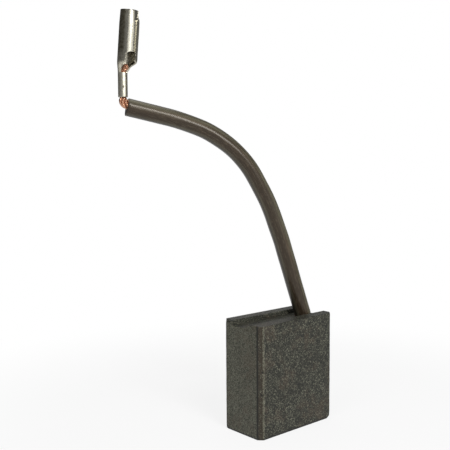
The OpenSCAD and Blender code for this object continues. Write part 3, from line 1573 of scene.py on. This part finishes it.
@dataclass(frozen=True)
class Studio:
    """Camera, floor, backdrop, lamps and surroundings.

    The camera shows what lies between seen_from and seen_to, which are in metres.
    """

    camera_mm: Triple = (-94.71, -93.69, 48.19)
    azimuth_deg: float = -41.04
    elevation_deg: float = 4.76
    roll_deg: float = -0.35
    lens_mm: float = 58.04
    sensor_mm: float = 36.0
    seen_from: float = 0.01
    seen_to: float = 50.0
    floor_mm: float = 520.0
    wall_mm: Pair = (260.0, 420.0)
    wall_away_mm: float = 600.0
    shadow_from_mm: float = 35.0
    shadow_to_mm: float = 95.0
    shadow_share: float = 0.16
    floor_paint: Colour = (0.86, 0.86, 0.86)
    white: Colour = (1.0, 1.0, 1.0)
    ambient: float = 0.12

    def camera(self) -> None:
        """Sets the camera up."""
        data = bpy.data.cameras.new("Camera")
        data.lens = self.lens_mm
        data.sensor_width = self.sensor_mm
        data.clip_start, data.clip_end = self.seen_from, self.seen_to
        camera = bpy.data.objects.new("Camera", data)
        scene = bpy.context.scene
        scene.collection.objects.link(camera)
        scene.camera = camera
        turn, rise = math.radians(self.azimuth_deg), math.radians(self.elevation_deg)
        back = Vector(
            (
                math.sin(turn) * math.cos(rise),
                -math.cos(turn) * math.cos(rise),
                math.sin(rise),
            )
        )
        right = UP.cross(back).normalized()
        over = back.cross(right)
        roll = math.radians(self.roll_deg)
        across = right * math.cos(roll) + over * math.sin(roll)
        upward = over * math.cos(roll) - right * math.sin(roll)
        axes = Matrix((across, upward, back)).transposed().to_4x4()
        camera.matrix_world = Matrix.Translation(Vector(self.camera_mm) * MM) @ axes
        scene.view_settings.view_transform = "Standard"

    def backdrop(self) -> None:
        """Lays the pale floor, which keeps the brush's shadow, and hangs the white wall."""
        half = self.floor_mm / 2
        self._sheet("Floor", Matrix.Diagonal((half, half, 1.0, 1.0)), self.shadow_share)
        turn = math.radians(self.azimuth_deg)
        away = Vector((-math.sin(turn), math.cos(turn), 0.0)) * self.wall_away_mm
        wide, high = (side / 2 for side in self.wall_mm)
        upright = (
            Matrix.Translation(away + UP * high)
            @ Matrix.Rotation(turn, 4, "Z")
            @ Matrix.Rotation(math.pi / 2, 4, "X")
            @ Matrix.Diagonal((wide, high, 1.0, 1.0))
        )
        self._sheet("Wall", upright, 0.0)

    def _sheet(self, name: str, place: Matrix, shadow: float) -> None:
        """Makes one flat sheet of the set.

        Args:
            name: The sheet's name.
            place: What takes a square of two millimetres to its place.
            shadow: How much of the lit surface shows round the brush.
        """
        bm = bmesh.new()
        bmesh.ops.create_grid(bm, x_segments=1, y_segments=1, size=1.0)
        bmesh.ops.transform(bm, matrix=Matrix.Scale(MM, 4) @ place, verts=bm.verts)
        sheet = put(bm, name)
        paint = bpy.data.materials.new(name.lower())
        graph = Graph(paint)
        matt = graph.node("ShaderNodeBsdfDiffuse", inputs={"Color": self.floor_paint})
        glow = graph.node("ShaderNodeEmission", inputs={"Color": self.white, "Strength": 1.0})
        x, y, _ = graph.parts(graph.object_mm())
        near = ((x * x + y * y) ** 0.5).step(self.shadow_to_mm, self.shadow_from_mm)
        share = graph.seen() * (1.0 - near * shadow)
        both = graph.node("ShaderNodeMixShader", inputs={0: share, 1: matt, 2: glow})
        graph.node("ShaderNodeOutputMaterial", inputs={"Surface": both})
        sheet.data.materials.append(paint)

    def surroundings(self) -> None:
        """Fills the space round the brush: white to look at, dimmer to be lit by."""
        world = bpy.context.scene.world or bpy.data.worlds.new("World")
        bpy.context.scene.world = world
        graph = Graph(world)
        path = graph.node("ShaderNodeLightPath", out="Is Camera Ray")
        shown, felt = (
            graph.node("ShaderNodeBackground", inputs={"Color": self.white, "Strength": power})
            for power in (1.0, self.ambient)
        )
        both = graph.node("ShaderNodeMixShader", inputs={0: path, 1: felt, 2: shown})
        graph.node("ShaderNodeOutputWorld", inputs={"Surface": both})

    def lamps(self) -> None:
        """Hangs the soft boxes."""
        for lamp in (
            Lamp("Key", (20.0, -290.0, 50.0), (470.0, 280.0), 0.32, (20.0, 0.0, 50.0)),
            Lamp("Glint high", (-96.0, -297.0, 331.0), (110.0, 110.0), 0.42),
            Lamp("Glint", (-69.0, -357.0, 260.0), (110.0, 110.0), 0.42),
            Lamp("Glint low", (-21.0, -403.0, 166.0), (110.0, 110.0), 0.42),
            Lamp("Fill", (-260.0, -60.0, 330.0), (180.0, 180.0), 0.32),
            Lamp("Top", (60.0, 120.0, 420.0), (300.0, 300.0), 0.3),
        ):
            lamp.build()


def main() -> None:
    """Builds the brush and the studio in order."""
    logging.basicConfig(level=logging.INFO, format="%(name)s: %(message)s")
    studio = Studio()
    studio.camera()
    lead = LeadLine()
    sleeve = Sleeve(lead)
    sleeve_piece = sleeve.build()
    shunt_piece = Shunt(lead).build()
    terminal_piece = Terminal(lead).build()
    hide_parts("sleeve")
    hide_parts("shunt_wire")
    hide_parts("terminal")
    path = lead.smooth(lead.sleeve_mm, 1.5)
    tuple(lead.at((0.0, 0.0)))
    block_piece = CarbonBlock(lead).build()
    dress_plug()
    for piece in (sleeve_piece, shunt_piece, terminal_piece, block_piece):
        LOG.info("%s: %d faces", piece.name, len(piece.data.polygons))
    studio.backdrop()
    studio.surroundings()
    studio.lamps()


if __name__ == "__main__":
    main()
